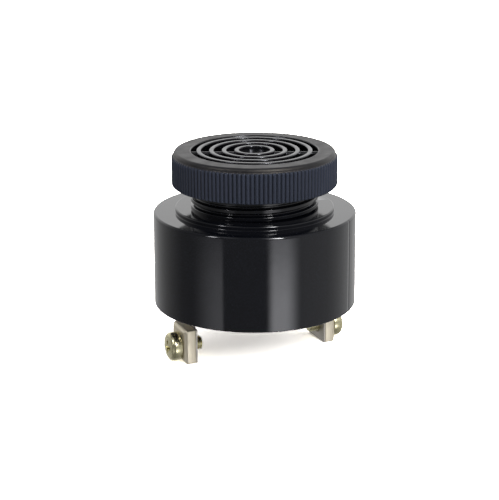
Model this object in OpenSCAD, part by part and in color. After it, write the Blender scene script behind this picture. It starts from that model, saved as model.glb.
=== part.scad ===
// Panel-mount piezo alarm sounder: a moulded housing with a threaded neck, a knurled grille bezel that
// screws onto it, a piezo bender on a small driver board, and two screw terminals set in resin.
// Millimetres, +Z out of the sounding face, origin on the axis at the level of the terminals' feet.

/* [Housing] */
// Diameter of the body at its front edge
body_d = 43; // [41:0.5:50]
// Height of the body from its rear rim to its front face
body_h = 20.1; // [19:0.1:26]
// Draft of the body's side, in degrees
body_draft = 0.2; // [0:0.05:0.6]
// Thickness of the body's side wall
wall = 1.8; // [1.2:0.1:2.2]
// Thickness of the front wall
roof_t = 2; // [1.4:0.1:2.6]
// Radius of the body's front edge
body_edge_r = 0.5; // [0.2:0.05:1]
// Width of the ribs that stop the circuit board
rib_w = 2; // [1.2:0.1:3]
// Depth of those ribs, inwards from the side wall
rib_depth = 1.8; // [1:0.1:2.4]

/* [Neck] */
// Diameter of the shoulder that the panel bears on
seat_d = 33.7; // [31:0.1:36]
// Height of the shoulder
seat_h = 0.95; // [0.6:0.05:2]
// Radius of the shoulder's edge
seat_edge_r = 0.3; // [0.1:0.05:0.5]
// Outer diameter of the neck's thread
neck_d = 27; // [25:0.1:28]
// Diameter of the sound passage in the neck
neck_bore_d = 22; // [18:0.1:23]
// Chamfer at the end of the neck
neck_chamfer = 0.5; // [0.2:0.05:0.9]
// Pitch of the thread
thread_pitch = 1.5875; // [1:0.0125:2]
// Turns that the bezel stands off the shoulder
open_turns = 3; // [3:1:4]
// Turns that the bezel can still be screwed down
clamp_turns = 2; // [1:1:2]

/* [Bezel] */
// Diameter over the knurl
bezel_d = 35; // [34:0.1:40]
// Height of the bezel
bezel_h = 7.3; // [6.8:0.1:10]
// Number of knurl ridges
knurl_count = 120; // [60:1:150]
// Depth of the knurl
knurl_depth = 0.3; // [0.1:0.05:0.4]
// Height of the smooth corner above the knurl
corner_h = 0.8; // [0.4:0.05:1.2]
// Width of the smooth corner, from the knurl's valleys to the flat rim
corner_w = 0.75; // [0.4:0.05:1.2]
// Chamfer where the knurl ends at the rear face
rear_chamfer = 0.25; // [0.1:0.05:0.3]
// Radial clearance between the bezel's bore and the neck
thread_clear = 0.1; // [0.05:0.01:0.2]

/* [Grille] */
// Thickness of the grille
face_t = 1.8; // [1.4:0.1:2.4]
// Diameter of the opening in the rim
opening_d = 26.7; // [25:0.1:27]
// Number of rings
ring_count = 4; // [2:1:4]
// Width of the slot between the rim and the outermost ring
rim_slot_w = 1.16; // [0.6:0.02:1.4]
// Step from one ring to the next
ring_step = 2.65; // [2.2:0.05:2.8]
// Width of a ring
ring_w = 0.96; // [0.7:0.02:1.2]
// Radius of a ring's top edges
ring_edge_r = 0.3; // [0.1:0.05:0.34]
// Width of the spokes
spoke_w = 1.5; // [0.8:0.1:2.4]
// Depth of the spokes below the ring tops
spoke_drop = 0.65; // [0.3:0.05:1]
// Angle of the first spoke, in degrees
spoke_angle = -24; // [-90:1:90]
// Depth of the centre dish at its rim
dish_drop = 0.7; // [0.3:0.05:0.9]
// Sag of the centre dish
dish_sag = 0.35; // [0.1:0.05:0.4]

/* [Terminals] */
// Distance from the feet to the body's rear rim
terminal_drop = 11.2; // [9:0.1:14]
// Distance from the side wall's inner face to the strips' inner faces
terminal_inset = 4.8; // [4.2:0.1:6]
// Thickness of the terminal strips
strip_t = 0.4; // [0.3:0.05:0.8]
// Width of the strips where they enter the resin
strip_w = 5.1; // [4:0.1:6.2]
// Width of the tails that the strips end in, through the circuit board
tail_w = 2.4; // [1.6:0.1:3.2]
// Width of the terminal pads and tapped plates
pad_w = 7.4; // [6.8:0.1:8.5]
// Height of the terminal pads and tapped plates
pad_h = 7.6; // [7:0.1:8.4]
// Thickness of the tapped plates
plate_t = 2.5; // [1.6:0.1:2.8]
// Bevel around the outer faces of the tapped plates
plate_bevel = 0.6; // [0.2:0.05:0.7]
// Corner radius of the pads and plates
pad_corner_r = 0.3; // [0.2:0.05:0.6]
// Height of the terminal screws above the feet
screw_h = 3.25; // [3.1:0.05:3.8]
// Thread diameter of the terminal screws
screw_d = 3; // [2.5:0.1:3.5]
// Length of the terminal screws under the head
screw_len = 5.2; // [4.4:0.1:6]
// Diameter of the screw heads
head_d = 6.1; // [5:0.1:6.2]
// Height of the screw heads
head_h = 2.5; // [1.6:0.1:2.6]
// Gap under the screw heads, as backed off for a wire
head_gap = 0.15; // [0.1:0.05:0.6]
// Length of the cross recess
recess_len = 3.2; // [2.4:0.1:3.8]
// Width of the cross recess
recess_w = 0.7; // [0.5:0.05:1]
// Depth of the cross recess
recess_depth = 1.3; // [0.8:0.1:1.5]
// Radial clearance of the screw in the tapped plate
tap_clear = 0.05; // [0.02:0.01:0.1]
// Radial clearance of the screw in the strip
strip_clear = 0.2; // [0.1:0.05:0.4]

/* [Bender] */
// Clearance between the diaphragm's edge and the board ribs
diaphragm_clear = 0.4; // [0.2:0.05:1]
// Thickness of the diaphragm
diaphragm_t = 0.3; // [0.2:0.05:0.4]
// Width of bare brass around the piezo ceramic
ceramic_margin = 5; // [3:0.1:6]
// Thickness of the ceramic
ceramic_t = 0.25; // [0.2:0.05:0.4]
// Width of the support ring and its adhesive
support_w = 2; // [1.2:0.1:2.4]
// Height of the support ring
support_h = 1.2; // [0.8:0.1:2]
// Thickness of the adhesive
adhesive_t = 0.3; // [0.2:0.05:0.5]
// Diameter of the leads
lead_d = 0.8; // [0.5:0.05:1]
// Height of the solder spots on the bender
spot_h = 0.4; // [0.3:0.05:0.6]

/* [Circuit] */
// Thickness of the circuit board
board_t = 1.6; // [1:0.1:2]
// Clearance between the board's edge and the wall
board_clear = 0.2; // [0.1:0.05:0.4]
// Space above the board, up to the diaphragm
board_room = 6.9; // [6.8:0.1:8]
// Depth of the resin below the rear rim
resin_recess = 1; // [0.4:0.1:2]
// Gap that stands for the bond between the resin and the wall
bond_gap = 0.05; // [0.02:0.01:0.1]
// Length of the strip tails above the board
tail_len = 1.2; // [0.8:0.1:2]
// Height of the solder on the tails
tail_solder_h = 0.8; // [0.4:0.1:1]
// Diameter of the component legs
leg_d = 0.5; // [0.4:0.05:0.7]
// Diameter of the resistors
resistor_d = 1.8; // [1.4:0.1:2.4]
// Length of the resistors
resistor_len = 3.6; // [3:0.1:5]
// Diameter of the diode
diode_d = 2.1; // [1.6:0.1:2.6]
// Length of the diode
diode_len = 4.2; // [3:0.1:5]
// Diameter of the capacitor
capacitor_d = 5; // [4:0.1:5.5]
// Height of the capacitor
capacitor_h = 5; // [3:0.1:5.2]
// Width of the transistor
transistor_w = 4.5; // [3.8:0.1:5]
// Height of the transistor's case
transistor_h = 4.4; // [3.5:0.1:4.6]
// Length of leg between the board and a standing component
leg_rise = 1.2; // [0.6:0.1:1.4]

/* [Hidden] */
$fn = 96;
arc_steps = 6;

// Levels along the axis
rim_z = terminal_drop;
front_z = rim_z + body_h;
seat_z = front_z + seat_h;
bezel_z = seat_z + open_turns * thread_pitch;
face_z = bezel_z + bezel_h;
ceiling_z = face_z - face_t;
neck_end_clear = 0.1;
neck_z = ceiling_z - clamp_turns * thread_pitch - neck_end_clear;
roof_z = front_z - roof_t;
support_z = roof_z - support_h;
diaphragm_z = support_z - adhesive_t - diaphragm_t;
ceramic_z = diaphragm_z - ceramic_t;
board_top_z = diaphragm_z - board_room;
board_z = board_top_z - board_t;
resin_z = rim_z + resin_recess;

// Radii
body_r = body_d / 2;
rim_r = body_r + body_h * tan(body_draft);
cavity_r = body_r - wall;
seat_r = seat_d / 2;
neck_r = neck_d / 2;
neck_bore_r = neck_bore_d / 2;
bezel_r = bezel_d / 2;
valley_r = bezel_r - knurl_depth;
knurl_step = 0.05;
opening_r = opening_d / 2;
outer_ring_r = opening_r - rim_slot_w - ring_w / 2;
board_r = cavity_r - board_clear;
board_rib_r = cavity_r - rib_depth;
diaphragm_r = board_rib_r - diaphragm_clear;
ceramic_r = diaphragm_r - ceramic_margin;

// Terminal stack, measured from the axis. The wide necks end a little below the circuit board
neck_stop = 0.5;
strip_x = cavity_r - terminal_inset;
plate_x = strip_x + strip_t;
head_x = plate_x + plate_t + head_gap;
neck_end_z = board_z - neck_stop;
slot_clear = 0.15;

// Places of the leads, as a radius and an angle
ceramic_lead_r = 0.7 * ceramic_r;
drive_lead_at = polar(ceramic_lead_r, -54);
feedback_lead_at = polar(ceramic_lead_r, 105);
common_lead_at = polar(diaphragm_r - ceramic_margin / 2, 232);

// Places of the components, as shares of the board's radius
transistor_at = [-0.33, -0.28] * board_r;
capacitor_at = [0.33, 0.33] * board_r;
base_resistor_at = [0.1, -0.57] * board_r;
feedback_resistor_at = [-0.46, 0.26] * board_r;
supply_resistor_at = [0, 0] * board_r;
diode_at = [0.5, -0.2] * board_r;
leg_spread = 1.2;

// A point from its radius and angle
function polar(r, a) = [r * cos(a), r * sin(a)];

// Points along an arc of an ellipse with half axes rx and ry
function arc(c, rx, ry, from, to) =
    [for (i = [0:arc_steps])
        let (a = from + (to - from) * i / arc_steps)
        c + [rx * cos(a), ry * sin(a)]];

// One radius of the knurl: valley, then a flat-topped ridge
function knurl_ridge(i) =
    let (pitch_a = 360 / knurl_count)
    [for (step = [[0, valley_r], [0.35, bezel_r], [0.65, bezel_r]])
        polar(step[1], (i + step[0]) * pitch_a)];

// Ring between two radii and two levels
module tube(r_in, r_out, z_low, z_high) {
    translate([0, 0, z_low])
        difference() {
            cylinder(h = z_high - z_low, r = r_out);
            translate([0, 0, -1])
                cylinder(h = z_high - z_low + 2, r = r_in);
        }
}

// Rectangle about the Y axis, from y = 0 up, with round corners
module pad_outline(w, h, r) {
    translate([-w / 2 + r, 0])
        square([w - 2 * r, h]);
    translate([-w / 2, r])
        square([w, h - 2 * r]);
    for (x = [-w / 2 + r, w / 2 - r], y = [r, h - r])
        translate([x, y])
            circle(r = r);
}

// A plate that stands on the floor, facing along X, with its inner face at x
module standing_plate(x, t) {
    translate([x, 0, 0])
        rotate([90, 0, 90])
            linear_extrude(height = t)
                children();
}

// The housing's section: body, shoulder and neck outside, cavity and sound passage inside
module housing() {
    section = concat(
        [[cavity_r, rim_z], [rim_r, rim_z]],
        arc([body_r - body_edge_r, front_z - body_edge_r], body_edge_r, body_edge_r, 0, 90),
        [[seat_r, front_z]],
        arc([seat_r - seat_edge_r, seat_z - seat_edge_r], seat_edge_r, seat_edge_r, 0, 90),
        [[neck_r, seat_z], [neck_r, neck_z - neck_chamfer], [neck_r - neck_chamfer, neck_z]],
        [[neck_bore_r, neck_z], [neck_bore_r, roof_z]],
        [[diaphragm_r - support_w, roof_z], [diaphragm_r - support_w, support_z]],
        [[diaphragm_r, support_z], [diaphragm_r, roof_z], [cavity_r, roof_z]]
    );
    color("#17181b")
        union() {
            rotate_extrude()
                polygon(section);
            board_ribs();
        }
}

// Four ribs inside the side wall, which stop the circuit board
module board_ribs() {
    rib_embed = 0.5;
    for (a = [45:90:315])
        rotate([0, 0, a])
            intersection() {
                translate([board_rib_r, -rib_w / 2, board_top_z])
                    cube([wall + body_r, rib_w, roof_z + rib_embed - board_top_z]);
                translate([0, 0, board_top_z])
                    cylinder(h = roof_z + rib_embed - board_top_z, r = cavity_r + rib_embed);
            }
}

// The bezel: a knurled cap, bored for the neck, with the grille in its face
module bezel() {
    bore_r = neck_r + thread_clear;
    knurl_z = face_z - corner_h;
    // The turned outline stands clear of the ridges, and its corner starts just inside their valleys
    clear = 0.2;
    corner_r = valley_r - knurl_step;
    outside = concat(
        [[0, bezel_z], [bezel_r - rear_chamfer, bezel_z], [bezel_r + clear, bezel_z + rear_chamfer + clear]],
        [[bezel_r + clear, knurl_z - (bezel_r + clear - corner_r)]],
        arc([corner_r - corner_w, knurl_z], corner_w, corner_h, 0, 90),
        [[0, face_z]]
    );
    color("#2a2c31")
        union() {
            difference() {
                intersection() {
                    rotate_extrude()
                        polygon(outside);
                    translate([0, 0, bezel_z])
                        linear_extrude(height = bezel_h)
                            polygon([for (i = [0:knurl_count - 1]) each knurl_ridge(i)]);
                }
                translate([0, 0, bezel_z - 1])
                    cylinder(h = bezel_h - face_t + 1, r = bore_r);
                cylinder(h = face_z + 1, r = opening_r);
            }
            grille();
        }
}

// Rings and centre dish, carried by four spokes
module grille() {
    inner_ring_r = outer_ring_r - (ring_count - 1) * ring_step;
    for (i = [0:ring_count - 1])
        grille_ring(outer_ring_r - i * ring_step);
    centre_dish(inner_ring_r);
    for (i = [0:3])
        rotate([0, 0, spoke_angle + 90 * i])
            translate([inner_ring_r, -spoke_w / 2, ceiling_z])
                cube([opening_r + spoke_w / 2 - inner_ring_r, spoke_w, face_t - spoke_drop]);
}

// One ring of the grille, with rounded top edges
module grille_ring(r) {
    half_w = ring_w / 2;
    edge_z = face_z - ring_edge_r;
    rotate_extrude()
        polygon(concat(
            [[r - half_w, ceiling_z], [r + half_w, ceiling_z]],
            arc([r + half_w - ring_edge_r, edge_z], ring_edge_r, ring_edge_r, 0, 90),
            arc([r - half_w + ring_edge_r, edge_z], ring_edge_r, ring_edge_r, 90, 180)
        ));
}

// The closed dish inside the innermost ring
module centre_dish(r) {
    dish_rim_z = face_z - dish_drop;
    rotate_extrude()
        polygon(concat(
            [[0, ceiling_z], [r, ceiling_z], [r, dish_rim_z]],
            [for (i = [arc_steps:-1:0])
                let (x = (r - ring_w / 2) * i / arc_steps)
                [x, dish_rim_z - dish_sag * (1 - pow(i / arc_steps, 2))]]
        ));
}

module diaphragm() {
    color("#b5964f")
        translate([0, 0, diaphragm_z])
            cylinder(h = diaphragm_t, r = diaphragm_r);
}

module piezo_ceramic() {
    color("#d8d5cb")
        translate([0, 0, ceramic_z])
            cylinder(h = ceramic_t, r = ceramic_r);
}

// Silicone between the support ring and the diaphragm
module diaphragm_adhesive() {
    color("#e8e6e0")
        tube(diaphragm_r - support_w, diaphragm_r, diaphragm_z + diaphragm_t, support_z);
}

// The round board, with a slot for each strip's tail
module circuit_board() {
    color("#2f5d3a")
        difference() {
            translate([0, 0, board_z])
                cylinder(h = board_t, r = board_r);
            for (side = [0, 180])
                rotate([0, 0, side])
                    translate([strip_x - slot_clear, -tail_w / 2 - slot_clear, board_z - 1])
                        cube([strip_t + 2 * slot_clear, tail_w + 2 * slot_clear, board_t + 2]);
        }
}

// A three-legged transistor with a flat front
module drive_transistor() {
    flat_share = 0.3;
    leg_pitch = transistor_w / 3.5;
    color("#202124")
        translate([transistor_at[0], transistor_at[1], board_top_z]) {
            translate([0, 0, leg_rise])
                difference() {
                    cylinder(h = transistor_h, r = transistor_w / 2);
                    translate([-transistor_w, -transistor_w - transistor_w * flat_share, -1])
                        cube([2 * transistor_w, transistor_w, transistor_h + 2]);
                }
            for (i = [-1:1])
                translate([i * leg_pitch, 0, 0])
                    cylinder(h = leg_rise + leg_d, r = leg_d / 2);
        }
}

// A lying component with a leg bent down at each end
module axial_part(at, turn, d, len) {
    leg_x = len / 2 + leg_spread;
    axis_z = d / 2 + leg_d / 2;
    translate([at[0], at[1], board_top_z])
        rotate([0, 0, turn]) {
            translate([-len / 2, 0, axis_z])
                rotate([0, 90, 0])
                    cylinder(h = len, r = d / 2);
            translate([-leg_x, 0, axis_z])
                rotate([0, 90, 0])
                    cylinder(h = 2 * leg_x, r = leg_d / 2);
            for (x = [-leg_x, leg_x])
                translate([x, 0, 0]) {
                    cylinder(h = axis_z, r = leg_d / 2);
                    translate([0, 0, axis_z])
                        sphere(r = leg_d / 2);
                }
        }
}

module base_resistor() {
    color("#c9a878")
        axial_part(base_resistor_at, 0, resistor_d, resistor_len);
}

module feedback_resistor() {
    color("#c9a878")
        axial_part(feedback_resistor_at, 60, resistor_d, resistor_len);
}

module supply_resistor() {
    color("#c9a878")
        axial_part(supply_resistor_at, 0, resistor_d, resistor_len);
}

module polarity_diode() {
    color("#1d1d1f")
        axial_part(diode_at, 90, diode_d, diode_len);
}

// A small can that stands on the board
module supply_capacitor() {
    color("#3b4a63")
        translate([capacitor_at[0], capacitor_at[1], board_top_z])
            cylinder(h = capacitor_h, r = capacitor_d / 2);
}

// A lead that runs straight up from the board to a solder spot under z
module lead(at, z) {
    translate([at[0], at[1], board_top_z])
        cylinder(h = z - spot_h - board_top_z, r = lead_d / 2);
}

module drive_lead() {
    color("#b3262a")
        lead(drive_lead_at, ceramic_z);
}

module feedback_lead() {
    color("#2a53a6")
        lead(feedback_lead_at, ceramic_z);
}

module common_lead() {
    color("#111111")
        lead(common_lead_at, diaphragm_z);
}

// Solder spots that hold the leads under the bender
module bender_solder() {
    spot_spread = 1.6;
    color("#c4c6c8")
        for (spot = [[drive_lead_at, ceramic_z], [feedback_lead_at, ceramic_z], [common_lead_at, diaphragm_z]])
            translate([spot[0][0], spot[0][1], spot[1] - spot_h])
                cylinder(h = spot_h, r1 = lead_d / 2, r2 = spot_spread * lead_d);
}

// Solder around the strip tails on the board
module terminal_solder() {
    solder_r = norm([strip_t, tail_w]) / 2;
    spread = 0.6;
    color("#c4c6c8")
        for (side = [0, 180])
            rotate([0, 0, side])
                difference() {
                    translate([strip_x + strip_t / 2, 0, board_top_z])
                        cylinder(h = tail_solder_h, r1 = solder_r + spread, r2 = solder_r + spread / 4);
                    strip_neck();
                }
}

// The upper part of a terminal strip: a neck in the resin, and a narrow tail through the board
module strip_neck() {
    translate([strip_x, -strip_w / 2, screw_h])
        cube([strip_t, strip_w, neck_end_z - screw_h]);
    translate([strip_x, -tail_w / 2, screw_h])
        cube([strip_t, tail_w, board_top_z + tail_len - screw_h]);
}

// Resin that fills the back up to the board and grips the strips
module potting() {
    color("#1c1c1e")
        difference() {
            translate([0, 0, resin_z])
                cylinder(h = board_z - resin_z, r = cavity_r - bond_gap);
            strip_neck();
            rotate([0, 0, 180])
                strip_neck();
        }
}

// A terminal strip: a wide pad below, its neck and tail above
module terminal_strip() {
    color("#b9b4a6")
        difference() {
            union() {
                standing_plate(strip_x, strip_t)
                    pad_outline(pad_w, pad_h, pad_corner_r);
                strip_neck();
            }
            screw_hole(strip_x, strip_t, strip_clear);
        }
}

// The thick square plate on the strip's pad, tapped for the screw that clamps a wire against it
module tapped_plate() {
    color("#cdc8ba")
        difference() {
            standing_plate(plate_x, plate_t)
                pad_outline(pad_w, pad_h, pad_corner_r);
            plate_bevels();
            screw_hole(plate_x, plate_t, tap_clear);
        }
}

// Cuts at 45 degrees along the four edges of a tapped plate's outer face
module plate_bevels() {
    reach = pad_w + pad_h;
    for (edge = [[0, pad_w], [90, pad_h], [180, pad_w], [270, pad_h]])
        translate([plate_x + plate_t, 0, pad_h / 2])
            rotate([edge[0], 0, 0])
                translate([-plate_bevel / 2, (edge[1] - plate_bevel) / 2, -reach / 2])
                    rotate([0, 0, 45])
                        translate([0, -plate_bevel, 0])
                            cube([plate_bevel, 2 * plate_bevel, reach]);
}

// The hole for a terminal screw through a plate of thickness t
module screw_hole(x, t, clear) {
    translate([x - 1, 0, screw_h])
        rotate([0, 90, 0])
            cylinder(h = t + 2, r = screw_d / 2 + clear);
}

// A pan head screw along X, with its head outwards
module terminal_screw() {
    head_r = head_d / 2;
    head_side_h = head_h * 0.45;
    crown_r = head_r * 0.55;
    point = screw_d * 0.12;
    color("#a89a5c")
        translate([head_x, 0, screw_h])
            rotate([0, 90, 0])
                difference() {
                    rotate_extrude()
                        polygon(concat(
                            [[0, -screw_len], [screw_d / 2 - point, -screw_len]],
                            [[screw_d / 2, point - screw_len], [screw_d / 2, 0], [head_r, 0]],
                            arc([crown_r, head_side_h], head_r - crown_r, head_h - head_side_h, 0, 90),
                            [[0, head_h]]
                        ));
                    for (a = [0, 90])
                        rotate([0, 0, a])
                            translate([-recess_len / 2, -recess_w / 2, head_h - recess_depth])
                                cube([recess_len, recess_w, recess_depth + 1]);
                }
}

module terminal_strip_positive() {
    terminal_strip();
}

module terminal_strip_negative() {
    rotate([0, 0, 180])
        terminal_strip();
}

module tapped_plate_positive() {
    tapped_plate();
}

module tapped_plate_negative() {
    rotate([0, 0, 180])
        tapped_plate();
}

module terminal_screw_positive() {
    terminal_screw();
}

module terminal_screw_negative() {
    rotate([0, 0, 180])
        terminal_screw();
}

housing();
bezel();
diaphragm();
piezo_ceramic();
diaphragm_adhesive();
circuit_board();
drive_transistor();
base_resistor();
feedback_resistor();
supply_resistor();
supply_capacitor();
polarity_diode();
drive_lead();
feedback_lead();
common_lead();
bender_solder();
terminal_solder();
potting();
terminal_strip_positive();
terminal_strip_negative();
tapped_plate_positive();
tapped_plate_negative();
terminal_screw_positive();
terminal_screw_negative();
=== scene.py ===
"""Looks of a panel-mount piezo alarm sounder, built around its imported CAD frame.

The moulded housing and bezel and the metal terminals are replaced by finer pieces with their threads, knurl
and rounded edges. What is sealed inside keeps its CAD shape. Sizes are in millimetres, and MM turns them into
metres.
"""

import math

import bpy
import numpy as np
from mathutils import Matrix, Vector


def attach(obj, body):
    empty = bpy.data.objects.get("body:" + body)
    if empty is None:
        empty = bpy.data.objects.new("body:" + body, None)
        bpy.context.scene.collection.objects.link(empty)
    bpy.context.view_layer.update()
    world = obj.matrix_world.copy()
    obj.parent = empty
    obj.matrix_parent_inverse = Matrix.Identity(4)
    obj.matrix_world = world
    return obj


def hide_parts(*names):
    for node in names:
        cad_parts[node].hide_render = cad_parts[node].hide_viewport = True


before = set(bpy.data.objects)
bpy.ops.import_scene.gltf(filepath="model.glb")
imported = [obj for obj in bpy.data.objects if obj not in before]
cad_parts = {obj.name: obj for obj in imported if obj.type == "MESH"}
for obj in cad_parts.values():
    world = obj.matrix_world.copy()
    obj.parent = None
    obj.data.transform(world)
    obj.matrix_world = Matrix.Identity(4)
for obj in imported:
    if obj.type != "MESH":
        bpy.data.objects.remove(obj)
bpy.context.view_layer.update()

MM = 0.001
TURN = 2 * math.pi
ON_AXIS = 1e-9

# Levels along the axis, above the terminals' feet
RIM_Z, FRONT_Z, SEAT_Z, NECK_Z = 11.2, 31.3, 32.25, 39.2375
ROOF_Z, SUPPORT_Z = 29.3, 28.1
BEZEL_Z, CEILING_Z, FACE_Z = 37.0125, 42.5125, 44.3125

# Housing
RIM_R, BODY_R, CAVITY_R, SEAT_R = 21.57, 21.5, 19.7, 16.85
NECK_R, NECK_BORE_R, NECK_CHAMFER = 13.5, 11.0, 0.5
SUPPORT_IN_R, SUPPORT_OUT_R = 15.5, 17.5
RIM_EDGE, RIM_CHAMFER, BODY_EDGE, SEAT_FOOT, SEAT_EDGE = 0.22, 0.25, 0.5, 0.12, 0.28
BORE_EDGE, SUPPORT_ROOT, SUPPORT_EDGE, CAVITY_CORNER = 0.3, 0.2, 0.15, 0.4
HOUSING_COLUMNS, POINT_GAP = 192, 0.01
PARTING_ANGLES = (-48, 132)
PARTING_HALF_W, PARTING_DEPTH, PARTING_LEAST_R = 0.09, 0.07, SEAT_R + 1
RIB_W, RIB_R, RIB_LOW_Z, RIB_ANGLE = 2.0, 17.9, 20.6, 45
RIB_EMBED, RIB_EDGE = 0.5, 0.2

# Neck thread, 16 turns to the inch. The shares are what is flat of the half pitch at the crest and the root
PITCH = 1.5875
CREST_Z = 33.233
THREAD_DEPTH = 0.72
CREST_SHARE, ROOT_SHARE = 0.4, 0.12
THREAD_CLEAR = 0.1
THREAD_STEP, BORE_STEP = 0.06, 0.1
# The bezel's bore has a relief above its thread and a lead-in below it
RELIEF_H, RELIEF_END, LEAD_IN_H = 0.9, 1.2, 0.8

# Bezel
BEZEL_R, VALLEY_R, OPENING_R = 17.5, 17.1, 13.35
KNURL_COUNT, RIDGE_COLUMNS = 120, 6
CORNER_H, CORNER_ROUND, CORNER_INSET, RIDGE_END_H = 0.85, 0.7, 0.05, 0.5
REAR_CHAMFER, OPENING_EDGE, CEILING_EDGE = 0.25, 0.25, 0.1
FINE_STEP, LONG_STEP = 0.06, 3.0

# Zones of the bezel's skin: where they fade, their colours, which are painted shade in the grille and a
# painted highlight on the knurl's crests, the cast of what they mirror, and what they add to the roughness
# and the specular level
GRILLE_FADE, CREST_ZONE_H = (0.3, 0.05), 0.22
GRILLE_PAINTED_SHADE, CREST_PAINTED_HIGHLIGHT = "#060608", "#30343f"
RIM_CAST, GRILLE_CAST, CREST_CAST = "#f2e8d8", "#e6e7ee", "#c4d0ee"
GRILLE_ROUGHNESS = -0.22
SKIN_SPECULAR, GRILLE_SPECULAR, CREST_SPECULAR = 0.5, 0.35, -0.4

# Grille
RING_COUNT, OUTER_RING_R, RING_STEP, RING_W, RING_EDGE = 4, 11.71, 2.65, 0.96, 0.2
RING_COLUMNS, BAR_COUNT, BAR_EDGE_STEPS = 192, 4, 5
SPOKE_W, SPOKE_DROP, SPOKE_EDGE, SPOKE_ANGLE, SPOKE_EMBED = 1.5, 0.65, 0.5, -24, 0.4
DISH_R, DISH_DROP, DISH_SAG = 3.75, 0.7, 0.35
DISH_STEPS, DISH_COLUMNS = 12, 96

# Terminals, measured from the axis
STRIP_X, STRIP_T, STRIP_W, NECK_END_Z = 14.9, 0.4, 5.1, 18.5
TAIL_W, TAIL_END_Z = 2.4, 21.8
PLATE_X, PLATE_T, PLATE_BEVEL = 15.3, 2.5, 0.6
PAD_W, PAD_H, PAD_CORNER = 7.4, 7.6, 0.3
STRIP_CLEAR, STRIP_EDGE, TAP_CLEAR, PLATE_EDGE = 0.2, 0.08, 0.05, 0.15
EASE_STEPS, FLAT_INSET = 4, 1.6
# A bevel's section as (inset, drop) shares of its size, with both its edges eased
BEVEL_SLOPE = ((0, 1.3), (0.02, 1.1), (0.1, 0.9), (0.9, 0.1), (1.1, 0.02))

# Terminal screws
SCREW_Z, SCREW_R, SCREW_LEN, SCREW_PITCH, SCREW_CUT = 3.25, 1.5, 5.2, 0.5, 0.28
SCREW_TIP, SCREW_SHARE, SHANK_STEP, SCREW_COLUMNS = 0.3, 0.2, 0.05, 64
HEAD_X, HEAD_R, HEAD_H, HEAD_SIDE_H, HEAD_EDGE = 17.95, 3.05, 2.5, 1.3, 0.9
HEAD_RELIEF, HEAD_DIP = 0.35, 0.02
# The head's rounded lower edge, as steps in from its side and up from its seat
HEAD_FOOT = ((0.15, 0.0), (0.04, 0.05), (0.0, 0.18))
# The share of the crown that its round edge rises, and the shares of the radius where the dome has a row
CROWN_SHARE, CROWN_STEPS, DOME_ROWS = 0.8, 8, (0.85, 0.7, 0.5, 0.25)
# The cross recess, with half the length and half the width of a blade at its floor and above its mouth
RECESS_DEPTH, RECESS_OVER = 1.3, 0.2
RECESS_FLOOR, RECESS_MOUTH = (0.5, 0.22), (1.75, 0.4)

# Edges sharper than this many degrees break the smooth shading
SHARP_ANGLE, SCREW_SHARP_ANGLE = 48, 40

# Camera, fitted to the photograph's 499 x 500 frame
CAMERA_AZIMUTH, CAMERA_ELEVATION, CAMERA_ROLL = -24, 17.07, -0.14
CAMERA_DISTANCE, AIM_Z = 330, 22.23
LENS, SENSOR, SHIFT_X = 111.22, 36, -0.0105

# Light. Directions are an azimuth from the camera and an elevation. A spread is the range of the cosine to a
# direction over which its light rises. The horizon and the backdrop's top are ranges of the elevation's sine.
# Glows are what reflections see, where 1 is white
SOFT_FROM, BACKDROP_FROM, SIDE_FROM = (50, 30), (180, 0), (90, 0)
SOFT_SPREAD, BACKDROP_SPREAD, SIDE_SPREAD = (-0.6, 0.5), (0.0, 0.9), (0.3, 0.8)
HORIZON, BACKDROP_TOP = (-0.05, 0.08), (0.45, 0.7)
SOFT_LIGHT, SOFT_SHADE = 0.72, 0.15
ROOM_GLOW, SIDE_GLOW, FLOOR_GLOW, BACKDROP_GLOW = 0.2, 0.32, 0.45, 1.06
FLOOR_HALF, FLOOR_ALBEDO, FLOOR_EXPOSED, PAPER_WHITE = 6000, 0.9, 6.2, "#fffcf8"
CARD_DISTANCE, CARD_STEPS, CARD_WHITE = 800, 24, "#fafaff"
TABLE_CARD, LAMP_CARD, WINDOW_CARD = (-500, -60), (420, 1000), (850, 3200)
# Shares of a card's height between which it dims upwards, and the level that is left at its top
CARD_FADE, CARD_TOP = (0.73, 0.6), 0.25

# Noise in the finishes: its detail, and the span that most of its values lie in
PATCH_DETAIL, GRAIN_DETAIL, NOISE_SPAN = 3.0, 2.0, (0.3, 0.7)

NUMBER = "NodeSocketFloat"


def linear(code):
    """An sRGB hex colour as linear RGBA."""
    parts = [int(code[i:i + 2], 16) / 255 for i in (1, 3, 5)]
    return tuple(c / 12.92 if c <= 0.04045 else ((c + 0.055) / 1.055) ** 2.4 for c in parts) + (1.0,)


def add_node(tree, kind, inputs=None, **settings):
    """Adds a node with its settings. An input that is a node or a socket is linked, another is set."""
    node = tree.nodes.new(kind)
    for key, value in settings.items():
        setattr(node, key, value)
    for key, value in (inputs or {}).items():
        for one in value if isinstance(value, list) else [value]:
            if isinstance(one, bpy.types.Node):
                one = next(s for s in one.outputs if s.enabled)
            if isinstance(one, bpy.types.NodeSocket):
                tree.links.new(one, node.inputs[key])
            else:
                node.inputs[key].default_value = one
    return node


# Meshes

def piece(name, verts, faces):
    """A new object from points in millimetres."""
    mesh = bpy.data.meshes.new(name)
    mesh.from_pydata((np.asarray(verts, float) * MM).tolist(), [], faces)
    obj = bpy.data.objects.new(name, mesh)
    bpy.context.scene.collection.objects.link(obj)
    return obj


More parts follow.
